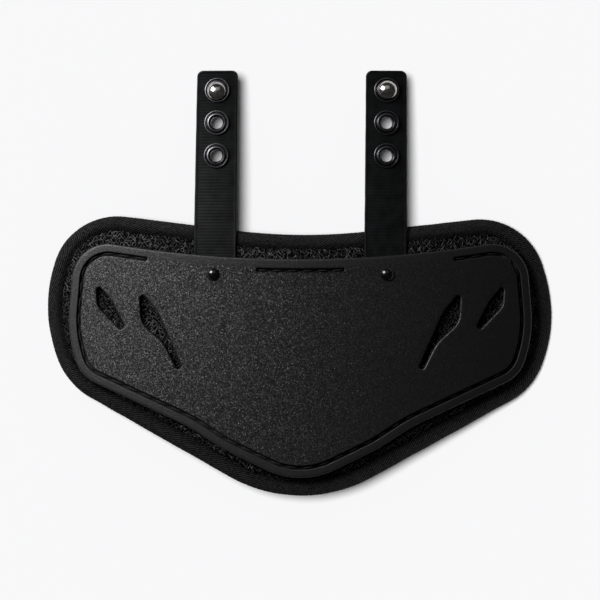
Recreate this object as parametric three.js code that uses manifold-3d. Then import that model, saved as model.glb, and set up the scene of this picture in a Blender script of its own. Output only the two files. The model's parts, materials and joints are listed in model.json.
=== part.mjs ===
// A football back plate: a moulded plate sewn to a bound foam pad, with two webbing straps that hang it from
// shoulder pads. It lies on its back with its face up. Millimetres, +X to the right of the face, +Y towards the
// straps' free ends, +Z up out of the face.
import * as THREE from 'three';
import { mergeVertices } from 'three/addons/utils/BufferGeometryUtils.js';
import Module from 'manifold-3d';

const wasm = await Module();
wasm.setup();

// Driving sizes. Heights are measured from the pad's back, before the whole guard takes its wearer's curve.
const GAP = 0.3; // left between pieces that touch
const WEAR_RADIUS = 560; // curve of the pad's back, about an axis along Y
const STATIONS = 80; // points round each outline
const PAD_TOP = 10;
const BINDING_TOP = 8.7;
const BINDING_WIDTH = 9.6;
const BINDING_ROLL = 6; // how far in the rolled edge reaches
const BINDING_WALL = 1.6;
const PRESS = 0.8; // how far the soft edge is pressed flat where it rests
const PLATE_BOTTOM = PAD_TOP + GAP;
const PLATE_TOP = PLATE_BOTTOM + 2.8;
const CHANNEL = { inset: 6, width: 2.6, depth: 1.2, barHalf: 27.3, gapEnd: 90.5 };
const STRAP = { x: 51, width: 25.7, endWidth: 24.6, thick: 1.8, low: -6, leaves: 16, high: 127.3, corner: 3 };
const STRAP_TOP = PAD_TOP;
const STRAP_MID = STRAP_TOP - STRAP.thick / 2;
const DROOP = { from: 34, end: 6.5 }; // the free ends sag a little
const EYELET = { hole: 3.65, barrel: 4.6, lip: 5.6, flange: 7.5, backFlange: 6.6 };
const SCREW = { dome: 5.3, rise: 3.1, post: 2.4, foot: 4.6 };
const RIVET = { x: 51.6, y: 5.1, dome: 3.9, rise: 1.9, post: 1.9, tail: 3.8 };

// Right half of each outline from the middle of the top edge to the tip: polygon corners and their rounding.
const PAD_EDGE = [
  { x: 0, y: 26.4, r: 330 },
  { x: 136.6, y: 42.9, r: 39.5 },
  { x: 156.1, y: -20.9, r: 82 },
  { x: 140.3, y: -62.2, r: 43 },
  { x: 0, y: -139.8, r: 87.7 },
];
const PLATE_EDGE = [
  { x: 0, y: 6.2, r: 700 },
  { x: 135.1, y: 26.7, r: 22 },
  { x: 140, y: -29.6, r: 75 },
  { x: 132.1, y: -55.7, r: 22 },
  { x: 66, y: -86.3, r: 110 },
  { x: 46, y: -99.4, r: 110 },
  { x: 0, y: -121.5, r: 47 },
];

// The right-hand vents, each a closed polygon with rounded corners.
const OUTER_VENT = [
  { x: 122.9, y: 1.5, r: 2 },
  { x: 121.9, y: -14.2, r: 9 },
  { x: 107.5, y: -29, r: 1.9 },
  { x: 104.8, y: -25.8, r: 1.9 },
  { x: 112.8, y: -10.4, r: 22 },
];
const INNER_VENT = [
  { x: 96.6, y: -3.6, r: 2 },
  { x: 95.6, y: -24, r: 13 },
  { x: 81.8, y: -36.5, r: 24 },
  { x: 73.3, y: -53.3, r: 1.9 },
  { x: 70.4, y: -50.1, r: 1.9 },
  { x: 84.9, y: -17, r: 34 },
];

// Rows of eyelets up each strap.
const EYELETS = [
  { name: 'low', y: 76 },
  { name: 'middle', y: 95.7 },
  { name: 'top', y: 115.3 },
];

// Each strap's side of the guard, how far its free end leans, and where its screw sits in the eyelet's play.
const SIDES = [
  { name: 'left', sign: -1, lean: 1.5, playX: -0.3, playY: -0.8 },
  { name: 'right', sign: 1, lean: 0.6, playX: 0.6, playY: 0 },
];

// Arc that rounds one corner of a polygon.
function cornerArc(before, at, after) {
  const into = new THREE.Vector2(at.x - before.x, at.y - before.y).normalize();
  const out = new THREE.Vector2(after.x - at.x, after.y - at.y).normalize();
  const turn = Math.atan2(into.cross(out), into.dot(out));
  const side = Math.sign(turn);
  const tangent = at.r * Math.tan(Math.abs(turn) / 2);
  const centre = new THREE.Vector2(at.x, at.y).addScaledVector(into, -tangent);
  centre.add(new THREE.Vector2(-into.y, into.x).multiplyScalar(side * at.r));
  const start = Math.atan2(-side * into.x, side * into.y);
  return { centre, r: at.r, start, end: start + turn, clockwise: turn < 0 };
}

function addArc(path, arc) {
  path.absarc(arc.centre.x, arc.centre.y, arc.r, arc.start, arc.end, arc.clockwise);
}

// Evenly spaced points clockwise round an outline that is given by its right half.
function mirroredOutline(corners) {
  const path = new THREE.Path();
  const last = corners.length - 1;
  const mirrored = (corner) => ({ ...corner, x: -corner.x });
  corners.forEach((corner, i) => {
    const before = i === 0 ? mirrored(corners[1]) : corners[i - 1];
    const after = i === last ? mirrored(corners[last - 1]) : corners[i + 1];
    const arc = cornerArc(before, corner, after);
    const middle = (arc.start + arc.end) / 2;
    if (i === 0) arc.start = middle;
    if (i === last) arc.end = middle;
    addArc(path, arc);
  });
  const right = path.getSpacedPoints(STATIONS / 2);
  const left = right.slice(1, -1).reverse().map((p) => new THREE.Vector2(-p.x, p.y));
  return [...right, ...left];
}

function roundedShape(corners) {
  const shape = new THREE.Shape();
  const count = corners.length;
  corners.forEach((corner, i) => {
    addArc(shape, cornerArc(corners[(i + count - 1) % count], corner, corners[(i + 1) % count]));
  });
  return shape;
}

// Moves each point of a clockwise outline inwards, square to it.
function insetOutline(points, inset) {
  return points.map((p, i) => {
    const next = points[(i + 1) % points.length];
    const prev = points[(i + points.length - 1) % points.length];
    const along = next.clone().sub(prev).normalize();
    return new THREE.Vector2(p.x + along.y * inset, p.y - along.x * inset);
  });
}

// Moves each point of an outline a share of the way to the winged middle line.
function shrunkOutline(points, share) {
  return points.map((p) => {
    const x = 0.63 * p.x;
    const y = -48 + 0.33 * Math.abs(x);
    return new THREE.Vector2(p.x, p.y).lerp(new THREE.Vector2(x, y), share);
  });
}

function atHeight(points, z) {
  return points.map((p) => new THREE.Vector3(p.x, p.y, typeof z === 'function' ? z(p) : z));
}

// Fills a winged ring with narrow faces between its upper and lower edges, so that it can bend.
function capFaces(ring, first, up) {
  const count = ring.length;
  const byX = [...ring.keys()].sort((a, b) => ring[a].x - ring[b].x);
  const end = byX[count - 1];
  let top = byX[0];
  let low = byX[0];
  const faces = [];
  while (top !== end || low !== end) {
    const nextTop = (top + 1) % count;
    const nextLow = (low + count - 1) % count;
    const takeTop = low === end || (top !== end && ring[nextTop].x < ring[nextLow].x);
    const next = takeTop ? nextTop : nextLow;
    const face = up ? [top, low, next] : [top, next, low];
    if (new Set(face).size === 3) faces.push(...face.map((i) => first + i));
    if (takeTop) top = nextTop;
    else low = nextLow;
  }
  return faces;
}

// Skins a run of rings, which either closes on itself or is capped at its first (upper) and last (lower) ring.
function loft(rings, closed) {
  const count = rings[0].length;
  const faces = [];
  const spans = closed ? rings.length : rings.length - 1;
  for (let k = 0; k < spans; k += 1) {
    const upper = k * count;
    const lower = ((k + 1) % rings.length) * count;
    for (let i = 0; i < count; i += 1) {
      const j = (i + 1) % count;
      faces.push(upper + i, upper + j, lower + j, upper + i, lower + j, lower + i);
    }
  }
  if (!closed) {
    faces.push(...capFaces(rings[0], 0, true));
    faces.push(...capFaces(rings[rings.length - 1], (rings.length - 1) * count, false));
  }
  const geometry = new THREE.BufferGeometry();
  const flat = rings.flat().flatMap((p) => [p.x, p.y, p.z]);
  geometry.setAttribute('position', new THREE.Float32BufferAttribute(flat, 3));
  geometry.setIndex(faces);
  return geometry;
}

// The wearer's curve keeps plan positions and lowers both wings. The guard rests on its wing edges.
const widest = new THREE.Box2().setFromPoints(mirroredOutline(PAD_EDGE)).max.x;
const BASE = Math.sqrt(WEAR_RADIUS ** 2 - (widest - 4) ** 2) + PRESS;

function curvedHeight(x, z) {
  return Math.sqrt((WEAR_RADIUS + z) ** 2 - x ** 2) - BASE;
}

function sag(y) {
  return y < DROOP.from ? 0 : DROOP.end * ((y - DROOP.from) / (STRAP.high - DROOP.from)) ** 2;
}

// Bends a flat piece over the curve, no lower than a floor level, with or without the sag of the straps.
function curve(geometry, floor = 0, hangs = false) {
  const at = geometry.attributes.position;
  for (let i = 0; i < at.count; i += 1) {
    const z = curvedHeight(at.getX(i), at.getZ(i)) - (hangs ? sag(at.getY(i)) : 0);
    at.setZ(i, Math.max(floor, z));
  }
  return geometry;
}

// Sets a piece that was turned about Z square to the strap or plate at a plan position.
function seat(geometry, x, y, z) {
  const point = (px, py) => new THREE.Vector3(px, py, curvedHeight(px, z) - sag(py));
  const here = point(x, y);
  const across = point(x + 0.5, y).sub(point(x - 0.5, y)).normalize();
  const up = new THREE.Vector3().crossVectors(across, point(x, y + 0.5).sub(point(x, y - 0.5))).normalize();
  const basis = new THREE.Matrix4().makeBasis(across, up.clone().cross(across), up).setPosition(here);
  return geometry.applyMatrix4(basis);
}

function turned(profile, sides) {
  const points = profile.map(({ r, z }) => new THREE.Vector2(r, z));
  return new THREE.LatheGeometry(points, sides).rotateX(Math.PI / 2);
}

function solid(geometry) {
  const bare = geometry.index ? geometry.clone() : mergeVertices(geometry.clone());
  bare.deleteAttribute('normal');
  bare.deleteAttribute('uv');
  const merged = mergeVertices(bare, 1e-4);
  return new wasm.Manifold(new wasm.Mesh({
    numProp: 3,
    vertProperties: new Float32Array(merged.attributes.position.array),
    triVerts: new Uint32Array(merged.index.array),
  }));
}

function fromSolid(body) {
  const mesh = body.getMesh();
  const geometry = new THREE.BufferGeometry();
  geometry.setAttribute('position', new THREE.BufferAttribute(new Float32Array(mesh.vertProperties), 3));
  geometry.setIndex(new THREE.BufferAttribute(new Uint32Array(mesh.triVerts), 1));
  return geometry;
}

function cutFrom(geometry, cutters) {
  return fromSolid(cutters.reduce((body, cutter) => body.subtract(solid(cutter)), solid(geometry)));
}

// Middle line and half width of a strap, from where it leaves the plate to its free end.
function strapAt(side, y) {
  const share = (y - STRAP.leaves) / (STRAP.high - STRAP.leaves);
  const half = THREE.MathUtils.lerp(STRAP.width, STRAP.endWidth, share) / 2;
  return { x: side.sign * STRAP.x + side.lean * share, half };
}

// Strip of strap, or of the room it needs, as a box that is divided so that it can bend.
function strapBox(side, grow, low, high, top) {
  const bottom = STRAP_TOP - STRAP.thick - grow;
  const box = new THREE.BoxGeometry(2, high - low, top - bottom, 2, Math.round((high - low) / 11), 1);
  box.translate(0, (low + high) / 2, (top + bottom) / 2);
  const at = box.attributes.position;
  for (let i = 0; i < at.count; i += 1) {
    const strip = strapAt(side, at.getY(i));
    at.setX(i, strip.x + at.getX(i) * (strip.half + grow));
  }
  return box;
}

// Pad: foam in a mesh cover, pinched thin under the binding and full beside it and under the plate.
const padOutline = mirroredOutline(PAD_EDGE);
const BINDING_MID = BINDING_TOP / 2;

function makePad() {
  const pinch = BINDING_WALL + GAP + 0.05;
  const upper = [
    { inset: 20, z: PAD_TOP },
    { inset: 14, z: PAD_TOP - 0.5 },
    { inset: 11.6, z: PAD_TOP - 0.9 },
    { inset: BINDING_WIDTH - 0.3, z: BINDING_TOP - pinch },
    { inset: 5.2, z: BINDING_TOP - pinch - 0.07 },
  ];
  const lower = [
    { inset: 5.2, z: pinch + 0.07 },
    { inset: BINDING_WIDTH - 0.3, z: pinch },
    { inset: 11.6, z: 0.3 },
    { inset: 14, z: 0 },
  ];
  const inner = insetOutline(padOutline, 20);
  const ring = ({ inset, z }) => atHeight(insetOutline(padOutline, inset), z);
  const rings = [
    atHeight(shrunkOutline(inner, 0.85), PAD_TOP),
    atHeight(shrunkOutline(inner, 0.42), PAD_TOP),
    ...upper.map(ring),
    ring({ inset: BINDING_WALL + GAP + 0.15, z: BINDING_MID }),
    ...lower.map(ring),
    atHeight(shrunkOutline(inner, 0.42), 0),
    atHeight(shrunkOutline(inner, 0.85), 0),
  ];
  const tailRoom = RIVET.tail + 0.8;
  const cutters = SIDES.flatMap((side) => [
    curve(strapBox(side, GAP, STRAP.low - GAP, 60, PAD_TOP + 8)),
    seat(new THREE.CylinderGeometry(tailRoom, tailRoom, 6, 14).rotateX(Math.PI / 2),
      side.sign * RIVET.x, RIVET.y, STRAP_MID),
  ]);
  return cutFrom(curve(loft(rings, false), BINDING_WALL + GAP), cutters);
}

// Binding: knit tape folded round the pad's edge, with a dent where each strap crosses it.
function makeBinding() {
  const roll = (inset, wall) => {
    const reach = BINDING_ROLL - wall;
    const share = 1 - Math.min(inset - wall, reach) / reach;
    return (BINDING_MID - wall) * Math.sqrt(1 - share ** 2);
  };
  const side = (insets, wall, up) => insets.map((inset) => {
    return atHeight(insetOutline(padOutline, inset), BINDING_MID + up * roll(inset, wall));
  });
  const outer = [BINDING_WIDTH, 6, 2.5, 0.6];
  const inner = [BINDING_WIDTH, 5];
  const rings = [
    ...side(outer, 0, 1),
    atHeight(padOutline, BINDING_MID),
    ...side([...outer].reverse(), 0, -1),
    ...side(inner, BINDING_WALL, -1),
    atHeight(insetOutline(padOutline, BINDING_WALL), BINDING_MID),
    ...side([...inner].reverse(), BINDING_WALL, 1),
  ];
  const geometry = curve(loft(rings, true));
  const at = geometry.attributes.position;
  for (let i = 9 * STATIONS; i < at.count; i += 1) at.setZ(i, Math.max(BINDING_WALL, at.getZ(i)));
  const cutters = SIDES.map((side) => curve(strapBox(side, GAP, 10, 60, PAD_TOP + 8)));
  return cutFrom(geometry, cutters);
}

// Plate: moulded sheet with a rounded rim, a sewing channel that stops where the straps come out, and four vents.
function makePlate() {
  const outline = mirroredOutline(PLATE_EDGE);
  const sewn = (p) => p.y < 0 || Math.abs(p.x) > CHANNEL.gapEnd || Math.abs(p.x) < CHANNEL.barHalf;
  const floorOf = (p) => PLATE_TOP - (sewn(p) ? CHANNEL.depth : 0);
  const near = CHANNEL.inset - CHANNEL.width / 2;
  const far = CHANNEL.inset + CHANNEL.width / 2;
  const inner = insetOutline(outline, 12);
  const ring = (inset, z) => atHeight(insetOutline(outline, inset), z);
  const rings = [
    atHeight(shrunkOutline(inner, 0.85), PLATE_TOP),
    atHeight(shrunkOutline(inner, 0.42), PLATE_TOP),
    ring(far + 0.1, PLATE_TOP),
    ring(far - 0.4, floorOf),
    ring(near + 0.4, floorOf),
    ring(near - 0.1, PLATE_TOP),
    ring(2.2, PLATE_TOP - 0.15),
    ring(0.5, PLATE_TOP - 0.8),
    ring(0, PLATE_TOP - 1.7),
    ring(0.4, PLATE_BOTTOM),
    atHeight(shrunkOutline(inner, 0.42), PLATE_BOTTOM),
    atHeight(shrunkOutline(inner, 0.85), PLATE_BOTTOM),
  ];
  const cutters = SIDES.flatMap(({ sign }) => {
    const vents = [OUTER_VENT, INNER_VENT].map((corners) => {
      const shape = roundedShape(corners.map((c) => ({ ...c, x: sign * c.x })));
      return new THREE.ExtrudeGeometry(shape, { depth: 60, bevelEnabled: false, curveSegments: 3 });
    });
    const hole = new THREE.CylinderGeometry(RIVET.post + GAP, RIVET.post + GAP, 20, 10).rotateX(Math.PI / 2);
    return [...vents, seat(hole, sign * RIVET.x, RIVET.y, STRAP_MID)];
  });
  return cutFrom(curve(loft(rings, false)), cutters);
}

// Strap: coated webbing with rounded top corners, three eyelet holes and a rivet hole.
function makeStrap(side) {
  const strip = curve(strapBox(side, 0, STRAP.low, STRAP.high, STRAP_TOP), 0, true);
  const low = strapAt(side, STRAP.low - 5);
  const high = strapAt(side, STRAP.high);
  const blank = roundedShape([
    { x: low.x - low.half, y: STRAP.low - 5, r: 1 },
    { x: low.x + low.half, y: STRAP.low - 5, r: 1 },
    { x: high.x + high.half, y: STRAP.high, r: STRAP.corner },
    { x: high.x - high.half, y: STRAP.high, r: STRAP.corner },
  ]);
  const block = new THREE.ExtrudeGeometry(blank, { depth: 80, bevelEnabled: false, curveSegments: 3 });
  const trimmed = fromSolid(solid(strip).intersect(solid(block)));
  const hole = (r, x, y, sides) => {
    return seat(new THREE.CylinderGeometry(r, r, 20, sides).rotateX(Math.PI / 2), x, y, STRAP_MID);
  };
  return cutFrom(trimmed, [
    ...EYELETS.map(({ y }) => hole(EYELET.barrel + GAP, strapAt(side, y).x, y, 14)),
    hole(RIVET.post + GAP, side.sign * RIVET.x, RIVET.y, 10),
  ]);
}

// Eyelet: barrel with a rolled lip and flange on the face and a flat flange behind.
function makeEyelet(side, y) {
  const face = STRAP.thick / 2 + GAP;
  const profile = [
    { r: EYELET.hole, z: -face - 0.7 },
    { r: EYELET.backFlange, z: -face - 0.5 },
    { r: EYELET.backFlange, z: -face },
    { r: EYELET.barrel, z: -face },
    { r: EYELET.barrel, z: face },
    { r: EYELET.flange, z: face },
    { r: EYELET.lip, z: face + 0.6 },
    { r: EYELET.barrel, z: face + 1.3 },
    { r: EYELET.hole, z: face + 0.8 },
    { r: EYELET.hole, z: -face - 0.7 },
  ];
  return seat(turned(profile, 14), strapAt(side, y).x, y, STRAP_MID);
}

// Screw: polished dome over the top eyelet, its post through the hole and a foot behind.
function makeScrew(side, y) {
  const seatZ = STRAP.thick / 2 + GAP + 1.3 + GAP;
  const footZ = -(STRAP.thick / 2 + GAP + 0.7 + GAP);
  const dome = [0, 25, 50, 72].map((degrees) => {
    const angle = THREE.MathUtils.degToRad(degrees);
    return { r: SCREW.dome * Math.cos(angle), z: seatZ + 0.6 + (SCREW.rise - 0.6) * Math.sin(angle) };
  });
  const profile = [
    { r: 0, z: footZ - 1.2 },
    { r: SCREW.foot, z: footZ - 1.2 },
    { r: SCREW.foot, z: footZ },
    { r: SCREW.post, z: footZ },
    { r: SCREW.post, z: seatZ },
    { r: SCREW.dome, z: seatZ },
    ...dome,
    { r: 0, z: seatZ + SCREW.rise },
  ];
  return seat(turned(profile, 14), strapAt(side, y).x + side.playX, y + side.playY, STRAP_MID);
}

// Rivet: black dome on the plate, its post through plate and strap and a tail behind the strap.
function makeRivet(sign) {
  const seatZ = PLATE_TOP - STRAP_MID + GAP;
  const tailZ = -(STRAP.thick / 2 + GAP);
  const dome = [0, 30, 60].map((degrees) => {
    const angle = THREE.MathUtils.degToRad(degrees);
    return { r: RIVET.dome * Math.cos(angle), z: seatZ + 0.4 + (RIVET.rise - 0.4) * Math.sin(angle) };
  });
  const profile = [
    { r: 0, z: tailZ - 1 },
    { r: RIVET.tail, z: tailZ - 1 },
    { r: RIVET.tail, z: tailZ },
    { r: RIVET.post, z: tailZ },
    { r: RIVET.post, z: seatZ },
    { r: RIVET.dome, z: seatZ },
    ...dome,
    { r: 0, z: seatZ + RIVET.rise },
  ];
  return seat(turned(profile, 12), sign * RIVET.x, RIVET.y, STRAP_MID);
}

const guard = new THREE.Group();
guard.name = 'back_plate';

function add(name, geometry, color) {
  const mesh = new THREE.Mesh(geometry, new THREE.MeshStandardMaterial({ color }));
  mesh.name = name;
  guard.add(mesh);
}

add('pad', makePad(), 0x202022);
add('edge_binding', makeBinding(), 0x2a2a2c);
add('plate', makePlate(), 0x3a3a3c);
SIDES.forEach((side) => {
  add(`strap_${side.name}`, makeStrap(side), 0x26282c);
  EYELETS.forEach((row) => add(`eyelet_${side.name}_${row.name}`, makeEyelet(side, row.y), 0x4a4a50));
  add(`screw_${side.name}`, makeScrew(side, EYELETS[2].y), 0xc8c8cc);
  add(`rivet_${side.name}`, makeRivet(side.sign), 0x1c1c1e);
});

export default guard;
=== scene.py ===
import json
import math
import random

import bmesh
import bpy
from mathutils import Matrix, Vector, bvhtree, kdtree, noise

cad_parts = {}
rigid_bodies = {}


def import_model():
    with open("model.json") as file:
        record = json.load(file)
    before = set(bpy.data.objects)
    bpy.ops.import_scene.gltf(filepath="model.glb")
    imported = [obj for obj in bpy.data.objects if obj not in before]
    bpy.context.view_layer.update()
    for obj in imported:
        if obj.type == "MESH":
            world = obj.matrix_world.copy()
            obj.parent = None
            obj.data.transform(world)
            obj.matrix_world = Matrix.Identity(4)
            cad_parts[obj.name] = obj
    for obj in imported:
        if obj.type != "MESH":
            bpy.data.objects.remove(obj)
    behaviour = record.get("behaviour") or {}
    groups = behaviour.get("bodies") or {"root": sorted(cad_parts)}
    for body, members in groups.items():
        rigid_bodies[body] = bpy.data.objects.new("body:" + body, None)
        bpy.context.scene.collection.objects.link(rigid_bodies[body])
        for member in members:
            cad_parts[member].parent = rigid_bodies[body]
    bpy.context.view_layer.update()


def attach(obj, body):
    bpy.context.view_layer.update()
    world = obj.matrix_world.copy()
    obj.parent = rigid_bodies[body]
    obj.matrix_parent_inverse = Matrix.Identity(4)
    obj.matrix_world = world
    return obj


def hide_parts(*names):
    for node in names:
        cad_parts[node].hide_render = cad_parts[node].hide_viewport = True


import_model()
scene = bpy.context.scene
mm = 0.001  # pieces are shaped in millimetres and scaled once when they are finished
random.seed(11)
noise.seed_set(11)  # vector noise starts from the clock otherwise

# camera straight above the face, as far off as keeps the wings in scale
shot = {"x": -0.2, "y": -10.2, "height": 2500.0, "level": 18.0, "seen": 359.8, "sensor": 36.0}
camData = bpy.data.cameras.new("shotCamera")
camData.sensor_width = shot["sensor"]
camData.lens = shot["sensor"] * (shot["height"] - shot["level"]) / shot["seen"]
camera = bpy.data.objects.new("shotCamera", camData)
camera.location = Vector((shot["x"], shot["y"], shot["height"])) * mm
scene.collection.objects.link(camera)
scene.camera = camera
guard = bpy.data.collections.new("guard")  # every piece of the object
scene.collection.children.link(guard)
print("camera set")

# the wearer's curve: plan positions stay, the wings drop, and the straps' free ends sag
wear = {"radius": 560.0, "base": 541.066, "sagFrom": 34.0, "sagEnd": 6.5, "strapEnd": 127.3}


def curvedHeight(x, z):
    return math.sqrt((wear["radius"] + z) ** 2 - x * x) - wear["base"]


def sag(y):
    past = max(0.0, y - wear["sagFrom"]) / (wear["strapEnd"] - wear["sagFrom"])
    return wear["sagEnd"] * past * past


def bendOver(bm, floor=0.0, hangs=False):
    for v in bm.verts:
        drop = sag(v.co.y) if hangs else 0.0
        v.co.z = max(floor, curvedHeight(v.co.x, v.co.z) - drop)


def seatAt(x, y, z):
    # place square to the strap or plate at a plan position
    def point(px, py):
        return Vector((px, py, curvedHeight(px, z) - sag(py)))
    across = (point(x + 0.5, y) - point(x - 0.5, y)).normalized()
    up = across.cross(point(x, y + 0.5) - point(x, y - 0.5)).normalized()
    turn = Matrix((across, up.cross(across), up)).transposed().to_4x4()
    return Matrix.Translation(point(x, y)) @ turn


def ease(low, high, value):
    t = min(1.0, max(0.0, (value - low) / (high - low)))
    return t * t * (3 - 2 * t)


def bothSides(half):
    # right half of an outline, from the top middle to the tip, made whole
    return [(-x, y, r) for x, y, r in half] + [c for c in reversed(half[1:-1])]


def grown(corners, by):
    # the same closed line moved outwards all round
    ahead = corners[1:] + corners[:1]
    area = sum(a[0] * b[1] - b[0] * a[1] for a, b in zip(corners, ahead))
    way = math.copysign(1, area)
    made = []
    for i, (x, y, r) in enumerate(corners):
        into = Vector((x - corners[i - 1][0], y - corners[i - 1][1])).normalized()
        out = Vector((ahead[i][0] - x, ahead[i][1] - y)).normalized()
        turn = math.atan2(into.cross(out), into.dot(out)) * way
        aside = (Vector((into.y, -into.x)) + Vector((out.y, -out.x))).normalized() * way * by / math.cos(turn / 2)
        made.append((x + aside.x, y + aside.y, max(0.5, r + math.copysign(by, turn))))
    return made


def roundedLoop(bm, corners, spacing):
    # closed line with each corner turned on its own radius
    ends = []
    for i, (x, y, r) in enumerate(corners):
        at = Vector((x, y, 0))
        into = (at - Vector((*corners[i - 1][:2], 0))).normalized()
        out = (Vector((*corners[(i + 1) % len(corners)][:2], 0)) - at).normalized()
        if r == 0:
            v = bm.verts.new(at)
            ends.append((v, v))
            continue
        turn = math.atan2(into.cross(out).z, into.dot(out))
        start = at - into * r * math.tan(abs(turn) / 2)
        centre = start + Vector((-into.y, into.x, 0)) * math.copysign(r, turn)
        near = ends and (start - ends[-1][1].co).length < spacing / 2
        first = ends[-1][1] if near else bm.verts.new(start)
        steps = max(2, round(abs(turn) * r / spacing))
        swept = bmesh.ops.spin(bm, geom=[first], cent=centre, axis=(0, 0, 1), dvec=(0, 0, 0),
                               angle=turn, steps=steps, use_merge=False, use_duplicate=False)
        ends.append((first, [g for g in swept["geom_last"] if isinstance(g, bmesh.types.BMVert)][0]))
    for i, (first, _) in enumerate(ends):
        last = ends[i - 1][1]
        if last is first:
            continue
        edge = bm.edges.new((last, first))
        pieces = max(1, round(edge.calc_length() / spacing))
        for left in range(pieces, 1, -1):
            edge, last = bmesh.utils.edge_split(edge, last, 1 / left)
            edge = next(e for e in last.link_edges if first in e.verts)
    loop = [ends[0][0]]
    edge = loop[0].link_edges[1 if corners[0][2] == 0 else 0]
    while True:
        v = edge.other_vert(loop[-1])
        if v is loop[0]:
            return loop
        loop.append(v)
        edge = next(e for e in v.link_edges if e is not edge)


def outlineFace(bm, corners, spacing, z):
    loop = roundedLoop(bm, corners, spacing)
    face = bm.faces.new(loop)
    face.normal_update()
    if face.normal.z < 0:
        face.normal_flip()
    for v in loop:
        v.co.z = z
    return face


def stepIn(bm, face, rows):
    # rows are (how far in from the outline, height), the first being where the face is now
    made = []
    for (insetA, zA), (insetB, zB) in zip(rows, rows[1:]):
        up = (zB - zA) * (1 if face.normal.z > 0 else -1)
        made.append(bmesh.ops.inset_region(bm, faces=[face], thickness=insetB - insetA, depth=up,
                                           use_even_offset=True, use_boundary=True)["faces"])
    return made


def sliced(bm, axis, start, end, step):
    # parallel cuts, halving the mesh each time so that every cut meets only its own share
    normal = Vector((0, 0, 0))
    normal[axis] = 1

    def place(g):
        if isinstance(g, bmesh.types.BMVert):
            return g.co[axis]
        return sum(v.co[axis] for v in g.verts) / len(g.verts)

    def cut(geom, marks):
        middle = len(marks) // 2
        made = bmesh.ops.bisect_plane(bm, geom=geom, dist=1e-4, plane_co=normal * marks[middle],
                                      plane_no=normal)["geom"]
        low, high = marks[:middle], marks[middle + 1:]
        if low:
            cut([g for g in made if place(g) < marks[middle] + 1e-3], low)
        if high:
            cut([g for g in made if g.is_valid and place(g) > marks[middle] - 1e-3], high)

    marks = [start + step * k for k in range(int((end - start) / step) + 1)]
    cut(bm.verts[:] + bm.edges[:] + bm.faces[:], marks)


def closeSheet(bm, corners, spacing, topRows, backRows, holes):
    # flat moulded sheet: rounded edge rows on both sides, and holes that run from face to back
    # holes are (corners, spacing, rows from the face down to the back)
    top = outlineFace(bm, corners, spacing, topRows[0][1])
    topBands = stepIn(bm, top, topRows)
    back = outlineFace(bm, corners, spacing, backRows[0][1])
    back.normal_flip()
    back.normal_update()
    stepIn(bm, back, backRows)
    topEdges, backEdges = list(top.edges), list(back.edges)
    spent = [top, back]
    for holeCorners, holeSpacing, holeRows in holes:
        hole = outlineFace(bm, holeCorners, holeSpacing, holeRows[0][1])
        wall = stepIn(bm, hole, holeRows)
        topEdges += [e for f in wall[0] for e in f.edges if e.is_boundary]
        backEdges += list(hole.edges)
        spent.append(hole)
    bmesh.ops.delete(bm, geom=spent, context="FACES_ONLY")
    for edges, normal in ((topEdges, (0, 0, 1)), (backEdges, (0, 0, -1))):
        bmesh.ops.triangle_fill(bm, use_beauty=True, use_dissolve=False, edges=edges, normal=normal)
    return topBands


def closeUp(bm, gap=1e-3):
    bmesh.ops.remove_doubles(bm, verts=bm.verts, dist=gap)
    bmesh.ops.recalc_face_normals(bm, faces=bm.faces)


def finishPiece(bm, name, finishes, nodes=(), sharp=40):
    bmesh.ops.scale(bm, vec=(mm, mm, mm), verts=bm.verts)
    for f in bm.faces:
        f.smooth = True
    mesh = bpy.data.meshes.new(name)
    bm.to_mesh(mesh)
    bm.free()
    mesh.set_sharp_from_angle(angle=math.radians(sharp))
    for finish in finishes:
        mesh.materials.append(finish)
    piece = bpy.data.objects.new(name, mesh)
    guard.objects.link(piece)
    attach(piece, "root")
    if nodes:
        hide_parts(*nodes)
    print(name, len(mesh.polygons), "faces")
    return piece


def planTree(points):
    tree = kdtree.KDTree(len(points))
    for i, p in enumerate(points):
        tree.insert((p.x, p.y, 0), i)
    tree.balance()
    return tree


def insetFinder(points):
    # how far inside a closed counterclockwise line a plan position is, and the nearest point's number
    tree = planTree(points)
    inward = []
    for i, p in enumerate(points):
        along = points[(i + 1) % len(points)] - points[i - 1]
        inward.append(Vector((-along.y, along.x, 0)).normalized())

    def find(x, y):
        near, i, far = tree.find((x, y, 0))
        depth = (Vector((x, y, 0)) - near).dot(inward[i])
        return (depth if abs(depth) > 0.7 * far else math.copysign(far, depth)), i
    return find


def linePoints(corners, spacing, inset=0.0):
    bm = bmesh.new()
    face = outlineFace(bm, corners, spacing, 0)
    if inset:
        stepIn(bm, face, [(0, 0), (inset, 0)])
    points = [v.co.copy() for v in face.verts]
    bm.free()
    return points


# finishes: the helpers add nodes and hand back the output to link on
def newFinish(name, **sockets):
    finish = bpy.data.materials.new(name)
    finish.use_nodes = True
    shader = finish.node_tree.nodes["Principled BSDF"]
    for label, value in sockets.items():
        shader.inputs[label.replace("_", " ")].default_value = value
    return finish, finish.node_tree, shader


def addNode(tree, kind, **settings):
    # a setting is an input's value if there is such an input, or else the node's own property
    node = tree.nodes.new("ShaderNode" + kind)
    for key, value in settings.items():
        label = key.replace("_", " ")
        if label in node.inputs:
            node.inputs[label].default_value = value
        else:
            setattr(node, key, value)
    return node


def objectPlace(tree):
    return addNode(tree, "TexCoord").outputs["Object"]


def texture(tree, kind, place, **settings):
    node = addNode(tree, "Tex" + kind, **settings)
    tree.links.new(place, node.inputs["Vector"])
    return node


def mark(tree, name):
    return addNode(tree, "Attribute", attribute_name=name).outputs["Fac"]


def axisOf(tree, vector, axis):
    node = addNode(tree, "SeparateXYZ")
    tree.links.new(vector, node.inputs["Vector"])
    return node.outputs[axis]


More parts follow.
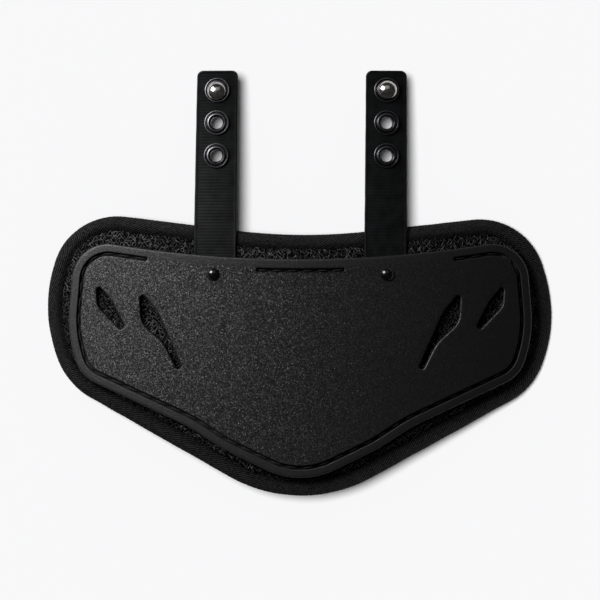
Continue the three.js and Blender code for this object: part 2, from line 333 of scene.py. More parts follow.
def spread(tree, source, lowIn, highIn, lowOut, highOut):
    node = addNode(tree, "MapRange", From_Min=lowIn, From_Max=highIn, To_Min=lowOut, To_Max=highOut)
    tree.links.new(source, node.inputs["Value"])
    return node.outputs["Result"]


def tinted(tree, source, stops):
    node = addNode(tree, "ValToRGB")
    for element, (place, colour) in zip(node.color_ramp.elements, stops):
        element.position = place
        element.color = (*colour, 1)
    tree.links.new(source, node.inputs["Fac"])
    return node.outputs["Color"]


def towards(tree, factor, source, value):
    # the source, turning into a fixed value as the factor rises
    node = addNode(tree, "Mix", data_type="FLOAT", B=value)
    tree.links.new(factor, node.inputs["Factor"])
    tree.links.new(source, node.inputs["A"])
    return node.outputs["Result"]


def scaled(tree, vector, by):
    node = addNode(tree, "VectorMath", operation="SCALE")
    tree.links.new(vector, node.inputs[0])
    tree.links.new(by, node.inputs["Scale"])
    return node.outputs["Vector"]


def leaned(tree, lean):
    # the surface's own normal, leaned over
    total = addNode(tree, "VectorMath", operation="ADD")
    tree.links.new(addNode(tree, "NewGeometry").outputs["Normal"], total.inputs[0])
    tree.links.new(lean, total.inputs[1])
    unit = addNode(tree, "VectorMath", operation="NORMALIZE")
    tree.links.new(total.outputs["Vector"], unit.inputs[0])
    return unit.outputs["Vector"]


def bumped(tree, shader, height, strength, distance, normal=None):
    bump = addNode(tree, "Bump", Strength=strength, Distance=distance)
    tree.links.new(height, bump.inputs["Height"])
    if normal is not None:
        tree.links.new(normal, bump.inputs["Normal"])
    tree.links.new(bump.outputs["Normal"], shader.inputs["Normal"])


def waveScale(pitch):
    # a wave texture's scale for bands this far apart
    return 2 * math.pi / (20 * pitch)


plateLook = {"cells": 2300.0, "lean": 0.4, "rimLean": 0.12, "calm": 0.62, "calmOver": (0.0, 0.07), "grain": 1400.0,
             "depth": 0.00015, "dark": (0.0022, 0.0022, 0.0024), "light": (0.0075, 0.0075, 0.0079),
             "matt": 0.5, "bright": 0.34, "rimGloss": 0.46, "deepMatt": 1.0, "deepPaintedShade": 0.1}


def plateFinish():
    finish, tree, shader = newFinish("plateGrain", Specular_IOR_Level=0.5)
    place, rim, deep = objectPlace(tree), mark(tree, "rim"), mark(tree, "deep")
    cells = texture(tree, "Voronoi", place, Scale=plateLook["cells"])
    grain = texture(tree, "Noise", place, Scale=plateLook["grain"], Detail=2.0, Roughness=0.6).outputs["Fac"]
    # painted shade: the colour is darker down in the sewing channels and the vents, which are duller there as well
    tint = tinted(tree, grain, [(0.3, plateLook["dark"]), (0.7, plateLook["light"])])
    shade = spread(tree, deep, 0, 1, 1.0, plateLook["deepPaintedShade"])
    tree.links.new(scaled(tree, tint, shade), shader.inputs["Base Color"])
    # every grain of the moulded face leans its own way, less towards the right, where it shows less in the photo
    centred = addNode(tree, "VectorMath", operation="SUBTRACT")
    centred.inputs[1].default_value = (0.5, 0.5, 0.5)
    tree.links.new(cells.outputs["Color"], centred.inputs[0])
    calm = spread(tree, axisOf(tree, place, "X"), *plateLook["calmOver"], plateLook["lean"],
                  plateLook["lean"] * plateLook["calm"])
    amount = towards(tree, deep, towards(tree, rim, calm, plateLook["rimLean"]), 0.0)
    normal = leaned(tree, scaled(tree, centred.outputs["Vector"], amount))
    bumped(tree, shader, grain, 1.0, plateLook["depth"], normal)
    field = spread(tree, grain, 0.35, 0.65, plateLook["matt"], plateLook["bright"])
    gloss = towards(tree, deep, towards(tree, rim, field, plateLook["rimGloss"]), plateLook["deepMatt"])
    tree.links.new(gloss, shader.inputs["Roughness"])
    return finish


coverLook = {"pitch": 1.6, "turn": 50.0, "dark": (0.0002, 0.0002, 0.0003), "light": (0.0018, 0.0018, 0.0019)}


def padFinish():
    # close knit under the net, with the net's own pattern where no threads are modelled; its near-black tone is the
    # black knit, darkened further as painted shade so the net's holes read as dark pits
    finish, tree, shader = newFinish("meshCover", Roughness=0.85, Specular_IOR_Level=0.03)
    place = objectPlace(tree)
    thread = addNode(tree, "Math", operation="MAXIMUM")
    for i, turn in enumerate((coverLook["turn"], -coverLook["turn"])):
        tilt = addNode(tree, "Mapping", Rotation=(0, 0, math.radians(turn)))
        tree.links.new(place, tilt.inputs["Vector"])
        wave = texture(tree, "Wave", tilt.outputs["Vector"], Scale=waveScale(coverLook["pitch"] * mm),
                       Distortion=1.2, Detail=2.0, Detail_Scale=1.5)
        tree.links.new(wave.outputs["Fac"], thread.inputs[i])
    height = thread.outputs["Value"]
    tint = tinted(tree, height, [(0.45, coverLook["dark"]), (0.95, coverLook["light"])])
    tree.links.new(tint, shader.inputs["Base Color"])
    bumped(tree, shader, height, 0.7, 0.0004)
    return finish


def netFinish():
    finish, tree, shader = newFinish("netThread", Roughness=0.45, Specular_IOR_Level=0.22)
    strand = texture(tree, "Noise", objectPlace(tree), Scale=620.0, Detail=3.0, Roughness=0.65).outputs["Fac"]
    tint = tinted(tree, strand, [(0.42, (0.0006, 0.0006, 0.0007)), (0.64, (0.034, 0.034, 0.035))])
    tree.links.new(tint, shader.inputs["Base Color"])
    bumped(tree, shader, strand, 0.5, 0.00015)
    return finish


knitLook = {"ribWeight": 0.32, "fuzz": 820.0, "dark": (0.0001, 0.0001, 0.0002), "light": (0.0245, 0.0245, 0.025),
            # from darkFrom to darkTo across the tape, painted shade comes in, down to edgeShade
            "darkFrom": 6.0, "darkTo": 11.0, "edgeShade": 0.4}


def bindingFinish():
    finish, tree, shader = newFinish("bindingKnit", Roughness=0.85, Specular_IOR_Level=0.06)
    tape = addNode(tree, "UVMap", uv_map="tape").outputs["UV"]
    rib = texture(tree, "Wave", tape, Scale=waveScale(1), Distortion=0.8, Detail=2.0, Phase_Offset=math.pi)
    fuzz = texture(tree, "Noise", objectPlace(tree), Scale=knitLook["fuzz"], Detail=3.0, Roughness=0.75)
    knit = addNode(tree, "Math", operation="MULTIPLY_ADD")
    knit.inputs[1].default_value = knitLook["ribWeight"]
    tree.links.new(rib.outputs["Fac"], knit.inputs[0])
    tree.links.new(fuzz.outputs["Fac"], knit.inputs[2])
    height = knit.outputs["Value"]
    # painted shade: darker towards the tape's sewn inner edge, where it folds under against the net
    tint = tinted(tree, height, [(0.6, knitLook["dark"]), (0.76, knitLook["light"])])
    shade = spread(tree, axisOf(tree, tape, "Y"), knitLook["darkFrom"], knitLook["darkTo"],
                   1.0, knitLook["edgeShade"])
    tree.links.new(scaled(tree, tint, shade), shader.inputs["Base Color"])
    bumped(tree, shader, height, 0.8, 0.0005)
    return finish


webLook = {"dark": (0.0016, 0.0018, 0.002), "light": (0.0048, 0.0053, 0.0059), "gloss": (0.38, 0.54),
           "leanOver": (0.045, 0.127), "lean": 0.3}


def webbingFinish():
    finish, tree, shader = newFinish("webbing", Specular_IOR_Level=0.17)
    place = objectPlace(tree)
    wearAndCrestHighlight = texture(tree, "Noise", place, Scale=160.0, Detail=5.0).outputs["Fac"]
    tint = tinted(tree, wearAndCrestHighlight, [(0.3, webLook["dark"]), (0.7, webLook["light"])])
    tree.links.new(tint, shader.inputs["Base Color"])
    tree.links.new(spread(tree, wearAndCrestHighlight, 0, 1, *webLook["gloss"]), shader.inputs["Roughness"])
    # shaded as if leaning towards the plate, more so near the free end, which darkens it as in the photo
    down = addNode(tree, "CombineXYZ", Y=-1.0).outputs["Vector"]
    amount = spread(tree, axisOf(tree, place, "Y"), *webLook["leanOver"], 0, webLook["lean"])
    bumped(tree, shader, wearAndCrestHighlight, 0.3, 0.0002, leaned(tree, scaled(tree, down, amount)))
    return finish


def metalFinish(name, colours, roughness, scratch, metallic=1.0, wearAndCrestHighlight=(0, 0, 0)):
    # the crests marked on the piece take a paler colour of their own, a painted highlight for thin rings of
    # reflected light
    finish, tree, shader = newFinish(name, Metallic=metallic)
    mottle = texture(tree, "Noise", objectPlace(tree), Scale=420.0, Detail=5.0).outputs["Fac"]
    crestHighlightMix = addNode(tree, "Mix", data_type="RGBA")
    colourA, colourB, mixedColour = crestHighlightMix.inputs[6], crestHighlightMix.inputs[7], crestHighlightMix.outputs[2]
    tree.links.new(mark(tree, "crest"), crestHighlightMix.inputs["Factor"])
    tree.links.new(tinted(tree, mottle, [(0.3, colours[0]), (0.7, colours[1])]), colourA)
    colourB.default_value = (*wearAndCrestHighlight, 1)
    tree.links.new(mixedColour, shader.inputs["Base Color"])
    tree.links.new(spread(tree, mottle, 0, 1, *roughness), shader.inputs["Roughness"])
    bumped(tree, shader, mottle, scratch, 0.0001)
    return finish


def threadFinish():
    finish, tree, shader = newFinish("sewingThread", Roughness=0.6, Specular_IOR_Level=0.2, Sheen_Weight=0.1)
    ply = texture(tree, "Wave", objectPlace(tree), Scale=waveScale(0.55 * mm), Distortion=1.0,
                  bands_direction="DIAGONAL").outputs["Fac"]
    tint = tinted(tree, ply, [(0.2, (0.001, 0.001, 0.0011)), (0.9, (0.006, 0.006, 0.0062))])
    tree.links.new(tint, shader.inputs["Base Color"])
    bumped(tree, shader, ply, 0.6, 0.00015)
    return finish


plateGrain, meshCover, netThread = plateFinish(), padFinish(), netFinish()
bindingKnit, webbing, sewingThread = bindingFinish(), webbingFinish(), threadFinish()
# the eyelets' crests get the paler colour, painted highlight lines round the rings
gunmetal = metalFinish("gunmetal", [(0.022, 0.022, 0.025), (0.045, 0.045, 0.05)], (0.24, 0.4), 0.05,
                       wearAndCrestHighlight=(0.13, 0.13, 0.14))
chrome = metalFinish("chrome", [(0.28, 0.265, 0.245), (0.62, 0.61, 0.59)], (0.1, 0.22), 0.25)
rivetBlack = metalFinish("rivetBlack", [(0.0008, 0.0008, 0.001), (0.002, 0.002, 0.0024)], (0.14, 0.24), 0.05, 0.0)
print("finishes made")

# straps: where each lies, its taper and lean
strap = {
    "x": 51.0, "width": 25.7, "endWidth": 24.6, "low": -6.0, "leaves": 16.0, "high": 127.3, "corner": 3.7,
    "face": [(0, 9.1), (0.08, 9.5), (0.26, 9.82), (0.55, 9.99), (0.95, 10.0), (1.4, 9.9), (1.9, 9.84), (2.6, 9.84)],
    "back": [(0, 9.1), (0.08, 8.7), (0.26, 8.38), (0.55, 8.21), (0.95, 8.2), (1.4, 8.3), (1.9, 8.36), (2.6, 8.36)],
    "ribPitch": 1.83, "ribHeight": 0.026, "ribFrom": 9.0, "spacing": 0.9, "middle": 9.1, "arch": 0.5,
    "under": 8.2, "slice": 4.0, "waver": 0.12, "waverLength": 9.0, "hole": 4.9, "holeSpacing": 0.8,
}
sides = [{"name": "left", "sign": -1, "lean": 1.5, "playX": -0.3, "playY": -0.8},
         {"name": "right", "sign": 1, "lean": 0.6, "playX": 0.6, "playY": 0.0}]
eyelets = [("low", 76.0), ("middle", 95.7), ("top", 115.3)]


def strapLine(side, y):
    share = (y - strap["leaves"]) / (strap["high"] - strap["leaves"])
    half = (strap["width"] + (strap["endWidth"] - strap["width"]) * share) / 2
    return side["sign"] * strap["x"] + side["lean"] * share, half


def makeStrap(side):
    bm = bmesh.new()
    (lowX, lowHalf), (highX, highHalf) = strapLine(side, strap["low"]), strapLine(side, strap["high"])
    corners = [(lowX - lowHalf, strap["low"], strap["corner"]), (lowX + lowHalf, strap["low"], strap["corner"]),
               (highX + highHalf, strap["high"], strap["corner"]),
               (highX - highHalf, strap["high"], strap["corner"])]
    faceZ, backZ = strap["face"][-1][1], strap["back"][-1][1]
    holes = []
    for _, y in eyelets:
        x, r = strapLine(side, y)[0], strap["hole"]
        ring = [(x + r * i, y + r * j, r * 0.999) for i, j in ((1, -1), (1, 1), (-1, 1), (-1, -1))]
        holes.append((ring, strap["holeSpacing"], [(0, faceZ), (0.05, backZ)]))
    closeSheet(bm, corners, strap["spacing"], strap["face"], strap["back"], holes)
    closeUp(bm)
    sliced(bm, 0, lowX - 12, lowX + 13, strap["slice"])
    sliced(bm, 1, strap["ribFrom"], strap["high"] - 0.2, strap["ribPitch"] / 4)
    for v in bm.verts:
        x, half = strapLine(side, v.co.y)
        inset = min(half - abs(v.co.x - x), strap["high"] - v.co.y)
        depth = ease(0.9, 2.6, inset) * ease(strap["ribFrom"], strap["ribFrom"] + 3, v.co.y)
        wave = math.cos(2 * math.pi * (v.co.y - strap["ribFrom"]) / strap["ribPitch"])
        up = 1 if v.co.z > strap["middle"] else -1
        v.co.z += up * strap["ribHeight"] * depth * wave
        v.co.z -= strap["arch"] * ((v.co.x - x) / half) ** 2 * ease(18, 45, v.co.y)
        waver = strap["waver"] * noise.noise((v.co.y / strap["waverLength"], side["sign"] * 3.0, 0))
        v.co.x += waver * (1 if v.co.x > x else -1) * (1 - ease(0, 3, inset))
    closeUp(bm, 1e-4)
    bmesh.ops.dissolve_degenerate(bm, dist=1e-4, edges=bm.edges)
    bendOver(bm, hangs=True)
    return finishPiece(bm, "webbing_" + side["name"], [webbing], ["strap_" + side["name"]], 60)


for side in sides:
    makeStrap(side)
print("straps done")


def turnedPiece(name, corners, spacing, steps, place, finish, crests=()):
    # profile of (radius, height, rounding) turned about its own axis and set in place
    bm = bmesh.new()
    roundedLoop(bm, corners, spacing)
    onAxis = [e for e in bm.edges if all(v.co.x < 1e-5 for v in e.verts)]
    bmesh.ops.delete(bm, geom=onAxis, context="EDGES")
    bmesh.ops.rotate(bm, verts=bm.verts, cent=(0, 0, 0), matrix=Matrix.Rotation(math.pi / 2, 3, "X"))
    bmesh.ops.spin(bm, geom=bm.verts[:] + bm.edges[:], cent=(0, 0, 0), axis=(0, 0, 1), dvec=(0, 0, 0),
                   angle=2 * math.pi, steps=steps, use_merge=True, use_duplicate=False)
    closeUp(bm, 2e-3)
    crest = bm.verts.layers.float.new("crest")
    for v in bm.verts:
        for radius, half, above in crests:
            if v.co.z > above:
                v[crest] = max(v[crest], 1 - abs(v.co.xy.length - radius) / half)
    bmesh.ops.transform(bm, verts=bm.verts, matrix=place)
    return finishPiece(bm, "turned_" + name, [finish], [name], 50)


def capCorner(radius, rise, top):
    # corner whose rounding is a shallow dome over that radius
    ball = (radius * radius + rise * rise) / (2 * rise)
    return (ball * ball - ball * (ball - rise)) / radius, top, ball * 0.97


def domeProfile(size):
    # dome on a low rim, post behind it and a round foot; roundings run from the foot's back up to the rim
    top = size["seat"] + size["rim"] + size["rise"]
    footBack = size["footTop"] - size["footThick"]
    backRound, footRound, seatRound, rimRound = size["roundings"]
    return [(0, footBack, 0), (size["foot"], footBack, backRound), (size["foot"], size["footTop"], footRound),
            (size["post"], size["footTop"], 0), (size["post"], size["seat"], 0),
            (size["dome"], size["seat"], seatRound), (size["dome"], size["seat"] + size["rim"], rimRound),
            capCorner(size["dome"], size["rise"], top), (0, top, 0)]


# eyelets: rolled lip inside a raised ring, flat flange behind
eyelet = {
    "profile": [(3.65, -1.9, 0.3), (6.6, -1.9, 0.25), (6.6, -1.2, 0.12), (4.6, -1.2, 0), (4.6, 1.15, 0),
                (7.5, 1.15, 0.1), (7.5, 1.85, 0.33), (6.65, 1.85, 0.3), (6.3, 1.35, 0.2), (5.85, 1.38, 0.2),
                (5.6, 2.4, 0.4), (4.6, 2.6, 0.42), (3.65, 1.7, 0.6)],
    "spacing": 0.3, "steps": 44,
    # these crests are painted paler as highlight lines
    "crests": [(7.2, 0.3, 1.4), (5.15, 0.42, 2.2)],  # radius, half width, height they start at
}
for side in sides:
    for row, y in eyelets:
        place = seatAt(strapLine(side, y)[0], y, strap["middle"])
        turnedPiece("eyelet_" + side["name"] + "_" + row, eyelet["profile"], eyelet["spacing"], eyelet["steps"],
                    place, gunmetal, eyelet["crests"])

# screws: polished dome on the top eyelets, foot behind
screw = {"dome": 5.5, "seat": 2.85, "rim": 0.4, "rise": 2.7, "post": 2.4, "foot": 4.6, "footTop": -2.25,
         "footThick": 1.2, "roundings": (0.4, 0.15, 0.2, 0.4), "spacing": 0.25, "steps": 48}
for side in sides:
    y = eyelets[2][1]
    place = seatAt(strapLine(side, y)[0] + side["playX"], y + side["playY"], strap["middle"])
    turnedPiece("screw_" + side["name"], domeProfile(screw), screw["spacing"], screw["steps"],
                place, chrome)

# rivets: black domes that hold the straps under the plate's top edge
rivet = {"x": 51.6, "y": 5.1, "dome": 3.9, "seat": 4.1, "rim": 0.25, "rise": 1.95, "post": 1.9, "foot": 3.8,
         "footTop": -1.2, "footThick": 1.0, "roundings": (0.3, 0.15, 0.15, 0.3), "spacing": 0.25, "steps": 40}
for side in sides:
    place = seatAt(side["sign"] * rivet["x"], rivet["y"], strap["middle"])
    turnedPiece("rivet_" + side["name"], domeProfile(rivet), rivet["spacing"], rivet["steps"],
                place, rivetBlack)
print("fasteners done")

# moulded plate
plate = {
    "half": [(0, 6.2, 700), (135.1, 26.7, 22), (140, -29.6, 75), (132.1, -55.7, 22), (66, -86.3, 110),
             (46, -99.4, 110), (0, -121.5, 47)],
    "spacing": 1.25, "slice": 4.0, "sliceX": (-138, 139), "sliceY": (-114, 22), "channelIn": 6.0, "top": 13.1,
    # the channel and vent entries here are depths below the face over which painted shade comes in
    "rimFade": (4.2, 6.2), "channelShadeDepths": (0.1, 0.6), "ventShadeDepths": (0.5, 1.1),
    "face": [(0, 11.5), (0.03, 12.1), (0.12, 12.5), (0.3, 12.8), (0.6, 13.0), (1.0, 13.08), (1.6, 13.1),
             (4.1, 13.1), (4.45, 13.1), (6.0, 13.1), (7.55, 13.1), (7.9, 13.1)],
    "back": [(0, 11.5), (0.12, 10.8), (0.5, 10.3)],
    "groove": [(0, 0), (0.13, -0.05), (0.24, -0.2), (0.29, -0.6), (0.34, -1.3), (0.5, -1.9)],
    "barHalf": 27.3, "barShift": 1.0, "gapEnd": 90.5,
    "vents": [[(122.9, 1.5, 2), (121.9, -14.2, 9), (107.5, -29, 1.9), (104.8, -25.8, 1.9), (112.8, -10.4, 22)],
              [(96.6, -3.6, 2), (95.6, -24, 13), (81.8, -36.5, 24), (73.3, -53.3, 1.9), (70.4, -50.1, 1.9),
               (84.9, -17, 34)]],
    "ventLip": 0.55, "ventDip": 1.0, "ventsFrom": 10.0, "ventSpacing": 0.8,
    "vent": [(0, 13.1), (0.25, 13.07), (0.5, 12.96), (0.74, 12.72), (0.9, 12.3), (1.0, 11.6), (1.1, 10.3)],
}
stitch = {"pitch": 9.8, "gap": 3.0, "radius": 0.42, "hole": 1.5, "holeDepth": 0.6, "sides": 7, "cuts": 7,
          "level": 11.6, "roundEnd": 0.95, "overlap": 0.4, "skew": 0.05}


def barShift(x, y):
    return plate["barShift"] * (1 - ease(plate["barHalf"] + 1, plate["barHalf"] + 9, abs(x))) if y > 0 else 0.0


def isSewn(x, y):
    return y < 0 or abs(x) > plate["gapEnd"] or abs(x) < plate["barHalf"]


plateCorners = bothSides(plate["half"])
channelLine = linePoints(plateCorners, plate["spacing"], plate["channelIn"])
for p in channelLine:
    p.y -= barShift(p.x, p.y)
plateInset = insetFinder(linePoints(plateCorners, plate["spacing"]))


def sewnRuns():
    # the channel line in stretches that are sewn
    first = next(i for i, p in enumerate(channelLine) if not isSewn(p.x, p.y))
    runs, run = [], []
    for p in channelLine[first:] + channelLine[:first]:
        if isSewn(p.x, p.y):
            run.append(p)
        elif run:
            runs.append(run)
            run = []
    return runs + ([run] if run else [])


def alongRun(run, distance):
    # point and direction at a distance along a run
    for a, b in zip(run, run[1:]):
        step = (b - a).length
        if distance <= step or b is run[-1]:
            return a.lerp(b, distance / step), (b - a).normalized()
        distance -= step


runs = [(run, sum((b - a).length for a, b in zip(run, run[1:]))) for run in sewnRuns()]
needleHoles = []
for run, length in runs:
    count = round(length / stitch["pitch"])
    needleHoles += [alongRun(run, min(length, max(0.0, length * k / count)))[0] for k in range(count + 1)]
holeTree = planTree(needleHoles)


def makePlate():
    bm = bmesh.new()
    deep = bm.verts.layers.float.new("deep")
    rim = bm.verts.layers.float.new("rim")
    vents = []
    for corners in plate["vents"]:
        for sign in (-1, 1):
            ring = grown([(sign * x, y, r) for x, y, r in corners], plate["ventLip"])
            vents.append((ring, plate["ventSpacing"], plate["vent"]))
    bands = closeSheet(bm, plateCorners, plate["spacing"], plate["face"], plate["back"], vents)
    channel = [f for band in bands[-3:-1] for f in band]
    for v in {v for f in channel for v in f.verts}:
        v.co.y -= barShift(v.co.x, v.co.y)
    sewn = [f for f in channel if isSewn(*f.calc_center_median().xy)]
    rounded = set()  # draw the corners of each channel end back along it
    for e in {e for f in sewn for e in f.edges}:
        mates = [f in sewn for f in e.link_faces]
        if all(f in channel for f in e.link_faces) and True in mates and False in mates:
            outer = next(v for v in e.verts if any(g not in channel for g in v.link_faces))
            inside = next(f for f in e.link_faces if f in sewn)
            back = (inside.calc_center_median() - (e.verts[0].co + e.verts[1].co) / 2).normalized()
            rounded.add((outer, tuple(back * stitch["roundEnd"])))
    for v, back in rounded:
        v.co += Vector(back)
    walls = []
    for (insetA, zA), (insetB, zB) in zip(plate["groove"], plate["groove"][1:]):
        walls += bmesh.ops.inset_region(bm, faces=sewn, thickness=insetB - insetA, depth=zB - zA,
                                        use_even_offset=True, use_boundary=True)["faces"]
    # the channel's depth marks where its shade is painted
    for v in {v for f in walls + sewn for v in f.verts}:
        v[deep] = ease(*plate["channelShadeDepths"], plate["top"] - v.co.z)
    for v in {v for f in sewn for v in f.verts}:
        far = holeTree.find((v.co.x, v.co.y, 0))[2]
        v.co.z -= stitch["holeDepth"] * (1 - ease(0.4, stitch["hole"], far))
    closeUp(bm)
    sliced(bm, 0, *plate["sliceX"], plate["slice"])
    sliced(bm, 1, *plate["sliceY"], plate["slice"])
    for v in bm.verts:
        inset = plateInset(v.co.x, v.co.y)[0]
        v[rim] = 1 - ease(*plate["rimFade"], inset)
        # vents are marked by depth too, for the shade painted in them
        if inset > plate["ventsFrom"]:
            v[deep] = max(v[deep], ease(*plate["ventShadeDepths"], plate["top"] - v.co.z))
    bmesh.ops.dissolve_degenerate(bm, dist=1e-4, edges=bm.edges)
    bendOver(bm)
    return finishPiece(bm, "moulded_plate", [plateGrain], ["plate"], 50)


makePlate()


def threadBlank():
    # one straight stitch along Z, a unit long
    bm = bmesh.new()
    bmesh.ops.create_cone(bm, cap_ends=True, segments=stitch["sides"], depth=1,
                          radius1=stitch["radius"], radius2=stitch["radius"])
    long = [e for e in bm.edges if abs(e.verts[0].co.z - e.verts[1].co.z) > 0.5]
    bmesh.ops.subdivide_edges(bm, edges=long, cuts=stitch["cuts"], use_grid_fill=True)
    blank = bpy.data.meshes.new("threadBlank")
    bm.to_mesh(blank)
    bm.free()
    return blank


def makeStitches(name, level, dip, lift, floor):
    # dip is how far the ends go into the needle holes, lift how the middle stands up
    bm, blank = bmesh.new(), threadBlank()
    for run, length in runs:
        count = round(length / stitch["pitch"])
        pitch = length / count
        for k in range(count):
            start = k * pitch + stitch["gap"] / 2 - stitch["overlap"]
            span = pitch - stitch["gap"] + 2 * stitch["overlap"]
            bm.from_mesh(blank)
            bm.verts.ensure_lookup_table()
            turn = random.uniform(-stitch["skew"], stitch["skew"])
            for v in bm.verts[-len(blank.vertices):]:
                u = 2 * v.co.z
                at, along = alongRun(run, start + span * (v.co.z + 0.5))
                side = Vector((-along.y, along.x, 0))
                thin = math.sqrt(max(0.05, 1 - abs(u) ** 6 * 0.7))
                height = level + lift * (1 - u * u) - dip * abs(u) ** 5
                v.co = at + side * (v.co.x * thin + turn * u * 3) + Vector((0, 0, height + v.co.y * thin))
    bpy.data.meshes.remove(blank)
    bendOver(bm, floor)
    return finishPiece(bm, name, [sewingThread])


makeStitches("channel_stitches", stitch["level"], 1.3, 0.2, 0)
print("plate done")

# padded body
pad = {
    "half": [(0, 26.4, 330), (136.6, 42.9, 39.5), (156.1, -20.9, 82), (140.3, -62.2, 43), (0, -139.8, 87.7)],
    "spacing": 2.4, "grid": 4.0, "sliceX": (-144, 145), "sliceY": (-124, 40), "middle": 4.35,
    "face": [(0, 4.35), (1.2, 5.5), (3.0, 6.5), (5.6, 6.6), (6.4, 6.7), (7.1, 7.4), (7.9, 8.35), (9.0, 8.95),
             (11.2, 9.3), (14.5, 9.55), (18, 9.7)],
    "back": [(0, 4.35), (1.2, 3.2), (3.0, 2.2), (5.6, 2.1), (6.4, 2.0), (7.1, 1.5), (7.9, 0.9), (9.0, 0.5),
             (11.2, 0.2), (14.5, 0.05), (18, 0)],
    "edgeInset": 2.05, "merge": 0.35, "floor": 1.9, "pressure": 3.0, "frames": 20, "cap": 3.0, "roomy": 0.04,
    "seamWidth": 3.4, "seamDepth": 1.5, "seamHeld": 1.9, "taped": 8.3, "strapRoom": 0.35, "lowest": 0.4,
    "quality": 6, "mass": 0.3,
    "tilt": -0.0085, "fuller": 1.8, "fullAt": (-140.0, 16.0), "fullReach": 42.0,
}
padCorners = bothSides(pad["half"])
padInset = insetFinder(linePoints(padCorners, plate["spacing"]))
ventInsets = []
for corners in plate["vents"]:
    for sign in (-1, 1):
        ring = [(sign * x, y, r) for x, y, r in corners]
        ventInsets.append(insetFinder(linePoints(ring, plate["ventSpacing"])))
channelTree = planTree(channelLine)


def underStrap(x, y):
    # how fully a place lies under a strap, from 0 to 1
    if y < strap["low"] - 4:
        return 0.0
    most = 0.0
    for side in sides:
        middle, half = strapLine(side, y)
        most = max(most, 1 - ease(half + 0.5, half + 4.0, abs(x - middle)))
    return most * ease(strap["low"] - 4, strap["low"] - 0.5, y)


def dentUnderStraps(bm, room):
    for v in bm.verts:
        under = underStrap(v.co.x, v.co.y)
        level = strap["under"] - room
        if under > 0 and v.co.z > level:
            v.co.z += (level - v.co.z) * under


def layPad(bm):
    # the soft pad lies a little turned under the plate, with a fuller left shoulder
    for v in bm.verts:
        far = math.dist(v.co.xy, pad["fullAt"]) / pad["fullReach"]
        v.co.y += pad["tilt"] * v.co.x
        v.co.x -= pad["fuller"] * math.exp(-far * far)


def ventDip(x, y):
    if plateInset(x, y)[0] < 8:
        return 0.0
    return plate["ventDip"] * max(ease(-1.2, 1.0, find(x, y)[0]) for find in ventInsets)


def makePad():
    bm = bmesh.new()
    edge = outlineFace(bm, padCorners, pad["spacing"], pad["middle"])
    stepIn(bm, edge, [(0, pad["middle"]), (pad["edgeInset"], pad["middle"])])
    rest = [f for f in bm.faces if f is not edge]
    bmesh.ops.delete(bm, geom=rest, context="FACES")
    back = bmesh.ops.duplicate(bm, geom=[edge])["geom"]
    back = next(g for g in back if isinstance(g, bmesh.types.BMFace))
    back.normal_flip()
    back.normal_update()
    stepIn(bm, edge, pad["face"])
    stepIn(bm, back, pad["back"])
    closeUp(bm)
    sliced(bm, 0, *pad["sliceX"], pad["grid"])
    sliced(bm, 1, *pad["sliceY"], pad["grid"])
    bmesh.ops.remove_doubles(bm, verts=bm.verts, dist=pad["merge"])
    dentUnderStraps(bm, pad["strapRoom"])
    for v in bm.verts:
        if v.co.z > 8:
            v.co.z -= ventDip(v.co.x, v.co.y)
    bmesh.ops.triangulate(bm, faces=[f for f in bm.faces if len(f.verts) > 4])
    bmesh.ops.recalc_face_normals(bm, faces=bm.faces)
    flat = [v.co.copy() for v in bm.verts]
    layPad(bm)
    bendOver(bm, pad["floor"])
    piece = finishPiece(bm, "foam_pad", [meshCover], ["pad"], 180)
    held = []
    for i, p in enumerate(flat):
        inset = padInset(p.x, p.y)[0]
        covered = p.z > 5 and (plateInset(p.x, p.y)[0] > -0.5 or underStrap(p.x, p.y) > 0)
        seam = p.z < 3 and isSewn(p.x, p.y) and channelTree.find((p.x, p.y, 0))[2] < pad["seamHeld"]
        if inset < pad["taped"] or covered or seam:
            held.append(i)
    puff(piece, held)
    for i, v in enumerate(piece.data.vertices):
        p = flat[i]
        if p.z < 3 and padInset(p.x, p.y)[0] > pad["taped"] and isSewn(p.x, p.y):
            far = channelTree.find((p.x, p.y, 0))[2]
            v.co.z += pad["seamDepth"] * mm * (1 - ease(0.6, pad["seamWidth"], far))
        v.co.z = max(v.co.z, pad["lowest"] * mm)
    piece.data.update()
    fill = piece.modifiers.new("soften", "SUBSURF")
    fill.levels = fill.render_levels = 1
    return piece


def puff(piece, held):
    # foam swells a little between its sewn lines, from a cloth run that is then kept as the mesh
    before = [v.co.copy() for v in piece.data.vertices]
    piece.vertex_groups.new(name="held").add(held, 1.0, "REPLACE")
    swell = piece.modifiers.new("swell", "CLOTH")
    settings = swell.settings
    settings.vertex_group_mass = "held"
    settings.use_pressure = True
    settings.uniform_pressure_force = pad["pressure"]
    settings.effector_weights.gravity = 0
    settings.shrink_min = -pad["roomy"]
    settings.quality = pad["quality"]
    settings.mass = pad["mass"]
    for number in range(1, pad["frames"] + 1):
        scene.frame_set(number)
    seen = piece.evaluated_get(bpy.context.evaluated_depsgraph_get())
    after = [v.co.copy() for v in seen.data.vertices]
    piece.modifiers.remove(swell)
    scene.frame_set(1)
    most = 0.0
    for v, old, new in zip(piece.data.vertices, before, after):
        move = new - old
        if move.length > pad["cap"] * mm:
            move = move.normalized() * pad["cap"] * mm
        most = max(most, move.length)
        v.co = old + move
    piece.vertex_groups.clear()
    print("pad swelled by up to", round(most / mm, 2), "mm")


padPiece = makePad()
makeStitches("back_stitches", 1.0, -0.8, -0.2, 0.3)

